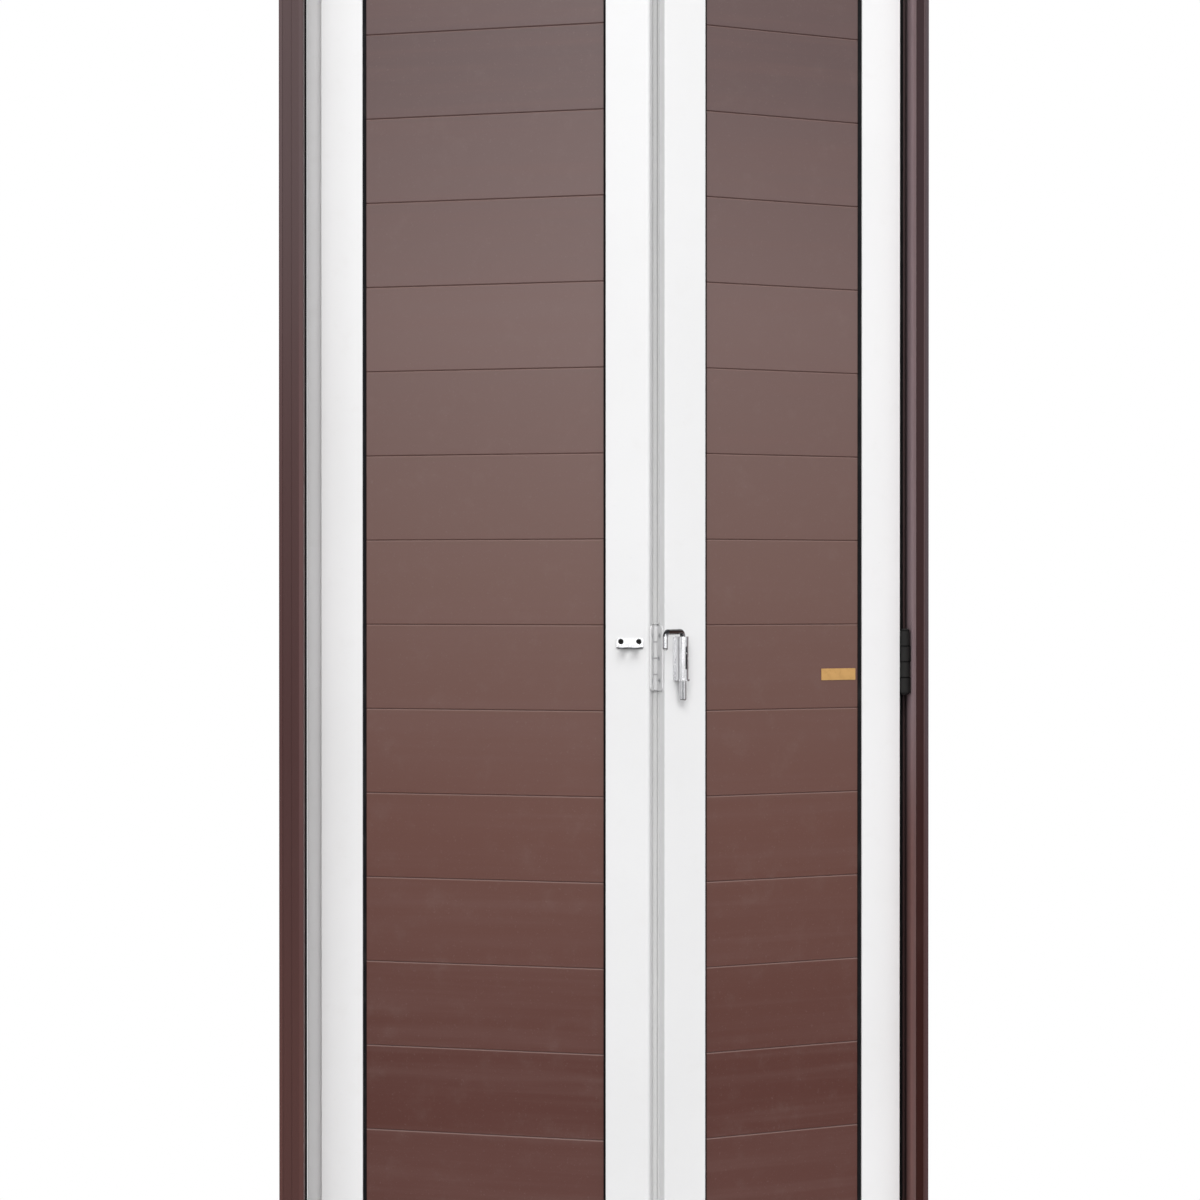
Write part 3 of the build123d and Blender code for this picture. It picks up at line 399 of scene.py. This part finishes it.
def bright_metal(name, dark, light, gloss, grain=(1.0, 1.0, 0.04), relief=0.35):
    """Plated or plain metal with a fine grain, handling marks and dull patches."""
    m = Finish(name, metallic=1.0)
    normal, edge = m.edges(0.0004)
    cloud = m.noise(60.0, 4.0)
    smear = m.noise(120.0, 5.0, 0.7).between(0.45, 0.75)
    lines = m.noise(1500.0, 3.0, 0.6, stretch=grain)
    base = m.mix(cloud * 0.7 + 0.3 * smear, light, dark)
    base = m.mix(edge * 0.3, base, light)
    roughness = gloss + 0.10 * smear + 0.08 * lines
    bumps = m.bump(lines, 0.00003, relief, normal)
    return m.finish_with(base, roughness, bumps)


def keeper_chrome():
    """Chrome whose folded lip, below the plate, is painted dark as shade."""
    m = Finish("keeper_chrome", metallic=1.0)
    normal, _ = m.edges(0.0004)
    smear = m.noise(120.0, 5.0, 0.7).between(0.45, 0.75)
    foot = min(vertex.co.z for vertex in nodes["keeper"].data.vertices)
    lip = 1.0 - m.axis("Z").between(foot + 0.0014, foot + 0.0018)
    base = m.mix(smear * 0.5, rgb(0.72, 0.72, 0.73), rgb(0.60, 0.60, 0.61))
    # Painted shade on the folded lip.
    base = m.mix(lip * 0.9, base, rgb(0.05, 0.055, 0.06))
    return m.finish_with(base, 0.12 + 0.1 * smear, m.bump(smear, 0.00003, 0.3, normal))


def rod_chrome():
    """Chrome rod with painted dark reflections on the sides that face up and along its bar."""
    m = Finish("rod_chrome", metallic=1.0)
    normal, _ = m.edges(0.0004)
    top = max(vertex.co.z for vertex in nodes["latch_rod"].data.vertices)
    bar = m.axis("Z").between(top - 0.0058, top - 0.0038)
    smear = m.noise(120.0, 5.0, 0.7).between(0.45, 0.75)
    facing = m.node("ShaderNodeNewGeometry").outputs["Normal"]
    split = m.node("ShaderNodeSeparateXYZ", None, {"Vector": facing})
    upward = Field(m, split.outputs["Z"]).between(-0.1, 0.45)
    base = m.mix(smear * 0.5, rgb(0.74, 0.74, 0.75), rgb(0.62, 0.62, 0.63))
    # Painted dark reflections on the sides that face up and along the bar.
    base = m.mix(upward * 0.9, base, rgb(0.05, 0.052, 0.055))
    base = m.mix(bar * 0.8, base, rgb(0.05, 0.052, 0.055))
    return m.finish_with(base, 0.08 + 0.1 * smear, m.bump(smear, 0.00003, 0.3, normal))


def cast_metal():
    """Cast zinc of the corner cleats: sandy skin, brighter on its edges."""
    m = Finish("cast_zinc", metallic=0.9)
    normal, edge = m.edges(0.0006)
    skin = m.noise(420.0, 4.0, 0.6)
    cloud = m.noise(30.0, 4.0)
    base = m.mix(cloud, rgb(0.36, 0.37, 0.38), rgb(0.50, 0.51, 0.52))
    base = m.mix(edge * 0.5, base, rgb(0.62, 0.63, 0.64))
    return m.finish_with(base, 0.48 + 0.15 * skin, m.bump(skin, 0.00015, 0.7, normal))


def nylon(name, dark, light):
    """Moulded nylon, slightly polished where it runs."""
    m = Finish(name, IOR=1.5)
    normal, edge = m.edges(0.0004)
    cloud = m.noise(70.0, 4.0)
    skin = m.noise(800.0, 2.0, 0.5)
    base = m.mix(cloud * 0.7 + edge * 0.3, dark, light)
    return m.finish_with(base, 0.45 + 0.12 * cloud, m.bump(skin, 0.00005, 0.5, normal))


# Dark and light tone, edge tone and its share (rubbed paint on the white hinges, painted shade on
# the black), roughness and IOR.
black_paint = (rgb(0.019, 0.0187, 0.018), rgb(0.026, 0.0255, 0.0245),
               rgb(0.001, 0.001, 0.001), 2.0, 0.50, 1.16)
white_paint = (rgb(0.65, 0.65, 0.65), rgb(0.70, 0.70, 0.70),
               rgb(0.48, 0.475, 0.47), 0.55, 0.34, 1.5)

slot_finishes = {
    "brown_planks": plank_coat(),
    "brown_frame": head_coat(),
    "white_aluminium": white_coat("white_powder_coat", 1.0),
    "black_rubber": rubber("black_rubber", rgb(0.006, 0.006, 0.007), rgb(0.03, 0.029, 0.028)),
    "light_rubber": rubber("light_rubber", rgb(0.60, 0.60, 0.595), rgb(0.66, 0.658, 0.65), 0.5),
    "black_steel": painted_steel("black_hinge_paint", *black_paint),
    "white_steel": painted_steel("white_hinge_paint", *white_paint),
    "chrome": bright_metal("polished_chrome", rgb(0.62, 0.62, 0.63), rgb(0.76, 0.76, 0.77), 0.12,
                           relief=0.06),
    "dark_nylon": nylon("dark_nylon", rgb(0.02, 0.02, 0.021), rgb(0.045, 0.044, 0.043)),
    "light_nylon": nylon("light_nylon", rgb(0.70, 0.69, 0.65), rgb(0.78, 0.77, 0.73)),
    "gold_plate": bright_metal("brushed_gold", rgb(0.56, 0.32, 0.12), rgb(0.74, 0.44, 0.17), 0.36,
                               grain=(0.04, 1.0, 1.0)),
    "cast_zinc": cast_metal(),
    "plain_aluminium": bright_metal("mill_aluminium", rgb(0.52, 0.53, 0.54),
                                    rgb(0.66, 0.67, 0.68), 0.30, grain=(0.03, 1.0, 1.0)),
    "zinc_steel": bright_metal("zinc_plated_steel", rgb(0.48, 0.49, 0.50),
                               rgb(0.64, 0.65, 0.66), 0.26),
}

for part in record["subparts"]:
    piece = nodes[part["node"]]
    piece.data.materials.clear()
    piece.data.materials.append(slot_finishes[part["material_slot"]])
nodes["hinge_jamb"].data.materials[0] = hinge_jamb_coat()
nodes["strike_jamb"].data.materials[0] = strike_jamb_coat()
nodes["keeper"].data.materials[0] = keeper_chrome()
nodes["latch_rod"].data.materials[0] = rod_chrome()
# The set-back tongue gets a lighter copy of the white coat: painted light.
nodes["lead_leaf_tongue"].data.materials[0] = white_coat("white_tongue_coat", 1.12)
# The fold stiles get a darker copy of the white coat: painted shade.
fold_stile_finish = white_coat("white_fold_stile_coat", 0.93)
for node in ("hinge_leaf_fold_stile", "lead_leaf_fold_stile"):
    nodes[node].data.materials[0] = fold_stile_finish
# Painted shade beside the knuckle gaps of every hinge: near black on the black hinges, grey on the
# white.
for place in ("upper", "middle", "lower"):
    for joint, paint, gap_shade, sides in (
            ("jamb_hinge", black_paint, rgb(0.001, 0.001, 0.001), ("frame", "leaf")),
            ("fold_hinge", white_paint, rgb(0.36, 0.36, 0.37), ("hinge_leaf", "lead_leaf"))):
        plates = ["%s_%s_%s_plate" % (joint, place, side) for side in sides]
        finish = painted_steel("%s_%s_paint" % (joint, place), *paint,
                               hinge=(joint, plates[0]), gap_shade=gap_shade)
        for node in plates:
            nodes[node].data.materials[0] = finish


def screw_places(node):
    """Head centre, outward direction, head radius and length of each screw in a CAD node."""
    mesh = nodes[node].data
    group = list(range(len(mesh.vertices)))

    def root(index):
        while group[index] != index:
            group[index] = group[group[index]]
            index = group[index]
        return index

    near = {}
    for vertex in mesh.vertices:
        key = tuple(round(value * 1e6) for value in vertex.co)
        group[root(vertex.index)] = root(near.setdefault(key, vertex.index))
    for face in mesh.polygons:
        for index in face.vertices[1:]:
            group[root(index)] = root(face.vertices[0])
    screws = {}
    for face in mesh.polygons:
        screws.setdefault(root(face.vertices[0]), []).append(face)
    places = []
    for faces in screws.values():
        flats = {}
        for face in faces:
            key = tuple(round(value, 2) + 0.0 for value in face.normal)
            flats.setdefault(key, []).append(face)
        top = max(flats.values(), key=lambda flat: sum(face.area for face in flat))
        area = sum(face.area for face in top)
        centre = sum((face.center * face.area for face in top), Vector()) / area
        out = top[0].normal.copy()
        depths = [out.dot(mesh.vertices[i].co - centre) for face in faces for i in face.vertices]
        radius = max((mesh.vertices[i].co - centre).length for face in top for i in face.vertices)
        places.append((centre, out, radius, -min(depths)))
    return sorted(places, key=lambda place: tuple(round(value, 4) for value in place[0]))


def primitive(kind, **settings):
    """Adds one primitive on its own selection and returns it."""
    bpy.ops.object.select_all(action="DESELECT")
    getattr(bpy.ops.mesh, "primitive_" + kind + "_add")(**settings)
    return bpy.context.object


def cut_away(piece, cutter):
    """Takes the cutter's volume out of a piece and throws the cutter away."""
    bpy.ops.object.select_all(action="DESELECT")
    piece.select_set(True)
    bpy.context.view_layer.objects.active = piece
    bpy.ops.object.modifier_add(type="BOOLEAN")
    cut = piece.modifiers[-1]
    cut.operation = "DIFFERENCE"
    cut.object = cutter
    bpy.ops.object.modifier_apply(modifier=cut.name)
    bpy.data.objects.remove(cutter)


def join(pieces, name):
    """Joins pieces into one, with their places and turns kept in its mesh."""
    bpy.ops.object.select_all(action="DESELECT")
    for piece in pieces:
        piece.select_set(True)
    bpy.context.view_layer.objects.active = pieces[0]
    bpy.ops.object.transform_apply(location=True, rotation=True, scale=True)
    bpy.ops.object.join()
    joined = bpy.context.object
    joined.name = name
    return joined


def cross_screw(radius, length):
    """Countersunk screw with a flat head, a cross recess and a threaded shank."""
    height = radius * 0.5
    shank = radius * 0.56
    core = shank * 0.86
    head = primitive("cone", vertices=40, radius1=shank, radius2=radius, depth=height,
                     location=(0, 0, -height / 2))
    for quarter in range(2):
        blade = primitive("cube", size=1.0, rotation=(0, 0, math.pi / 2 * quarter),
                          scale=(radius * 1.15, radius * 0.26, radius * 0.56))
        cut_away(head, blade)
    well = primitive("cone", vertices=16, radius1=radius * 0.12, radius2=radius * 0.3,
                     depth=radius * 0.6, location=(0, 0, -radius * 0.2))
    cut_away(head, well)
    body = primitive("cylinder", vertices=20, radius=core, depth=length - height,
                     location=(0, 0, -(height + length) / 2))
    pitch = shank * 0.8
    turns = []
    for i in range(int((length - height) / pitch) - 1):
        turns.append(primitive("cone", vertices=20, radius1=shank, radius2=core,
                               depth=pitch * 0.5, location=(0, 0, -height - pitch * (i + 1))))
    return join([head, body] + turns, "cross_screw")


def make_screws(node):
    """Cross-recessed screws in the places of a CAD node's plain ones."""
    slot = next(p["material_slot"] for p in record["subparts"] if p["node"] == node)
    body = next(name for name, row in record["behaviour"]["bodies"].items() if node in row)
    screws, masters = [], {}
    for number, (centre, out, radius, length) in enumerate(screw_places(node)):
        size = (round(radius, 5), round(length, 4))
        if size not in masters:
            masters[size] = cross_screw(radius, length)
        screw = masters[size].copy()
        screw.data = masters[size].data.copy()
        bpy.context.scene.collection.objects.link(screw)
        screw.rotation_mode = "QUATERNION"
        twist = Quaternion((0, 0, 1), 0.7 * number + 0.4)
        screw.rotation_quaternion = out.to_track_quat("Z", "Y") @ twist
        screw.location = centre
        screws.append(screw)
    for master in masters.values():
        bpy.data.objects.remove(master)
    piece = join(screws, node + "_cross_recessed")
    piece.data.materials.clear()
    piece.data.materials.append(slot_finishes[slot])
    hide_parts(node)
    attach(piece, body)


for part in record["subparts"]:
    if part["node"].endswith("_screws"):
        make_screws(part["node"])


def make_floor():
    """Round pale floor under the door."""
    floor = primitive("cylinder", vertices=128, radius=1.42, depth=0.02,
                      location=(0, 0, -0.0105))
    floor.name = "studio_floor"
    m = Finish("pale_floor")
    cloud = m.noise(1.5, 4.0)
    speck = m.noise(160.0, 3.0)
    base = m.mix(cloud, rgb(0.50, 0.497, 0.49), rgb(0.55, 0.547, 0.54))
    floor.data.materials.append(m.finish_with(base, 0.6 + 0.1 * speck, m.bump(speck, 0.0001, 0.3)))


def soft_light(name, place, target, width, height, watts):
    """White rectangular softbox that faces a target."""
    data = bpy.data.lights.new(name, "AREA")
    data.shape = "RECTANGLE"
    data.size = width
    data.size_y = height
    data.energy = watts
    lamp = bpy.data.objects.new(name, data)
    lamp.location = place
    lamp.rotation_euler = (Vector(target) - Vector(place)).to_track_quat("-Z", "Y").to_euler()
    bpy.context.scene.collection.objects.link(lamp)


def studio():
    """White surroundings: bright above, dimmer towards the floor."""
    world = bpy.data.worlds.new("studio_white")
    world.use_nodes = True
    tree = world.node_tree
    tree.nodes.clear()
    output = tree.nodes.new("ShaderNodeOutputWorld")
    seen = tree.nodes.new("ShaderNodeBackground")
    seen.inputs["Strength"].default_value = 1.0
    seen.inputs["Color"].default_value = rgb(1.0, 1.0, 1.0)
    lit = tree.nodes.new("ShaderNodeBackground")
    place = tree.nodes.new("ShaderNodeTexCoord")
    split = tree.nodes.new("ShaderNodeSeparateXYZ")
    ramp = tree.nodes.new("ShaderNodeValToRGB")
    ramp.color_ramp.elements[0].position = 0.34
    ramp.color_ramp.elements[0].color = rgb(0.05, 0.045, 0.042)
    ramp.color_ramp.elements[1].position = 0.50
    ramp.color_ramp.elements[1].color = rgb(0.50, 0.50, 0.515)
    half = tree.nodes.new("ShaderNodeMath")
    half.operation = "MULTIPLY_ADD"
    half.inputs[1].default_value = 0.5
    half.inputs[2].default_value = 0.5
    path = tree.nodes.new("ShaderNodeLightPath")
    mix = tree.nodes.new("ShaderNodeMixShader")
    tree.links.new(place.outputs["Generated"], split.inputs[0])
    tree.links.new(split.outputs["Z"], half.inputs[0])
    tree.links.new(half.outputs[0], ramp.inputs[0])
    tree.links.new(ramp.outputs[0], lit.inputs["Color"])
    tree.links.new(path.outputs["Is Camera Ray"], mix.inputs[0])
    tree.links.new(lit.outputs[0], mix.inputs[1])
    tree.links.new(seen.outputs[0], mix.inputs[2])
    tree.links.new(mix.outputs[0], output.inputs[0])
    bpy.context.scene.world = world
    soft_light("front_softbox", (0.0, -4.6, 2.1), (0.0, 0.0, 1.4), 6.8, 2.4, 104.0)
    soft_light("high_softbox", (-0.2, -3.6, 4.4), (0.0, 0.0, 1.0), 3.4, 2.0, 132.0)
    soft_light("left_softbox", (-2.6, -1.7, 1.6), (0.3, 0.0, 1.2), 1.2, 2.0, 6.0)
    soft_light("right_softbox", (2.6, -2.0, 1.6), (-0.3, 0.0, 1.2), 1.2, 2.0, 6.0)
    soft_light("rear_softbox", (0.8, 2.8, 2.2), (0.0, 0.0, 1.1), 1.8, 2.0, 60.0)


def camera():
    """The photograph's view."""
    data = bpy.data.cameras.new("photo_camera")
    data.sensor_fit = "HORIZONTAL"
    data.sensor_width = SENSOR_WIDTH
    data.lens = SENSOR_WIDTH * FOCAL_PIXELS / PICTURE_PIXELS
    data.dof.use_dof = False
    view = bpy.data.objects.new("photo_camera", data)
    view.location = CAMERA_PLACE
    view.rotation_euler = Euler((math.radians(90.0 + CAMERA_TILT), 0.0,
                                 math.radians(CAMERA_TURN)))
    bpy.context.scene.collection.objects.link(view)
    bpy.context.scene.camera = view


make_floor()
studio()
camera()
bpy.context.scene.view_settings.view_transform = "Standard"
bpy.context.scene.view_settings.look = "None"
